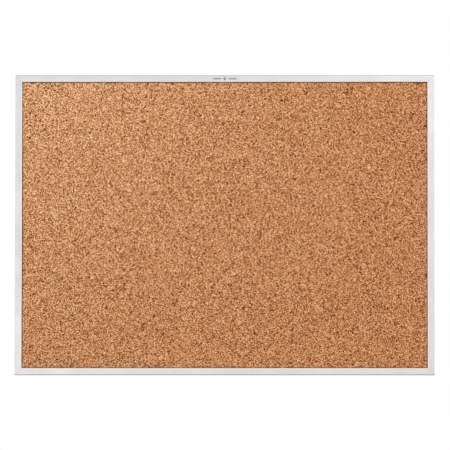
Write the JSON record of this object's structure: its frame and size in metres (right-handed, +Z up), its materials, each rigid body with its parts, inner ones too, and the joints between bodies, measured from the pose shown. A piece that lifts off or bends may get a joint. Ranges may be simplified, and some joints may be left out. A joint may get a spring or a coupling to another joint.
{
  "type": "bulletin board",
  "caption": "Wall-hung cork bulletin board: a natural cork face on fibreboard in a mitred satin aluminium frame, with corner keys, panel springs and sliding keyhole hangers.",
  "frame": {"origin": "centre of the board on the plane of the wall that its frame bears on", "axes": "+X to the right as the board is seen from the front, +Z up, +Y into the wall; the cork faces -Y"},
  "size_m": [0.914, 0.022, 0.655],
  "materials": {
    "anodised_aluminium": "satin clear anodised extrusion",
    "cork": "fine natural cork granules, matt, no coating",
    "fibreboard": "soft fibreboard, raw",
    "kraft_paper": "brown kraft paper, matt",
    "zinc_plated_steel": "bright zinc plated",
    "black_steel": "black oxide",
    "spring_steel": "blued spring steel"
  },
  "bodies": {
    "board": {"top_rail": "anodised_aluminium", "bottom_rail": "anodised_aluminium", "left_rail": "anodised_aluminium", "right_rail": "anodised_aluminium", "cork_sheet": "cork", "fibreboard_core": "fibreboard", "backing_paper": "kraft_paper", "corner_key_top_left": "zinc_plated_steel", "corner_key_top_right": "zinc_plated_steel", "corner_key_bottom_left": "zinc_plated_steel", "corner_key_bottom_right": "zinc_plated_steel", "corner_shim_top_left": "zinc_plated_steel", "corner_shim_top_right": "zinc_plated_steel", "corner_shim_bottom_left": "zinc_plated_steel", "corner_shim_bottom_right": "zinc_plated_steel", "key_screw_top_left_a": "black_steel", "key_screw_top_left_b": "black_steel", "key_screw_top_right_a": "black_steel", "key_screw_top_right_b": "black_steel", "key_screw_bottom_left_a": "black_steel", "key_screw_bottom_left_b": "black_steel", "key_screw_bottom_right_a": "black_steel", "key_screw_bottom_right_b": "black_steel", "panel_spring_top_1": "spring_steel", "panel_spring_top_2": "spring_steel", "panel_spring_top_3": "spring_steel", "panel_spring_top_4": "spring_steel", "panel_spring_bottom_1": "spring_steel", "panel_spring_bottom_2": "spring_steel", "panel_spring_bottom_3": "spring_steel", "panel_spring_bottom_4": "spring_steel", "panel_spring_left_1": "spring_steel", "panel_spring_left_2": "spring_steel", "panel_spring_left_3": "spring_steel", "panel_spring_right_1": "spring_steel", "panel_spring_right_2": "spring_steel", "panel_spring_right_3": "spring_steel"},
    "hanger_top_left": {"hanger_plate_top_left": "zinc_plated_steel", "hanger_nut_top_left": "zinc_plated_steel", "hanger_screw_top_left": "zinc_plated_steel"},
    "hanger_top_right": {"hanger_plate_top_right": "zinc_plated_steel", "hanger_nut_top_right": "zinc_plated_steel", "hanger_screw_top_right": "zinc_plated_steel"},
    "hanger_bottom_left": {"hanger_plate_bottom_left": "zinc_plated_steel", "hanger_nut_bottom_left": "zinc_plated_steel", "hanger_screw_bottom_left": "zinc_plated_steel"},
    "hanger_bottom_right": {"hanger_plate_bottom_right": "zinc_plated_steel", "hanger_nut_bottom_right": "zinc_plated_steel", "hanger_screw_bottom_right": "zinc_plated_steel"}
  },
  "joints": [
    {"name": "slide_top_left", "type": "slide", "parent": "board", "child": "hanger_top_left", "axis": [1, 0, 0], "range_m": [-0.08, 0.24]},
    {"name": "slide_top_right", "type": "slide", "parent": "board", "child": "hanger_top_right", "axis": [1, 0, 0], "range_m": [-0.24, 0.08]},
    {"name": "slide_bottom_left", "type": "slide", "parent": "board", "child": "hanger_bottom_left", "axis": [1, 0, 0], "range_m": [-0.08, 0.24]},
    {"name": "slide_bottom_right", "type": "slide", "parent": "board", "child": "hanger_bottom_right", "axis": [1, 0, 0], "range_m": [-0.24, 0.08]}
  ]
}
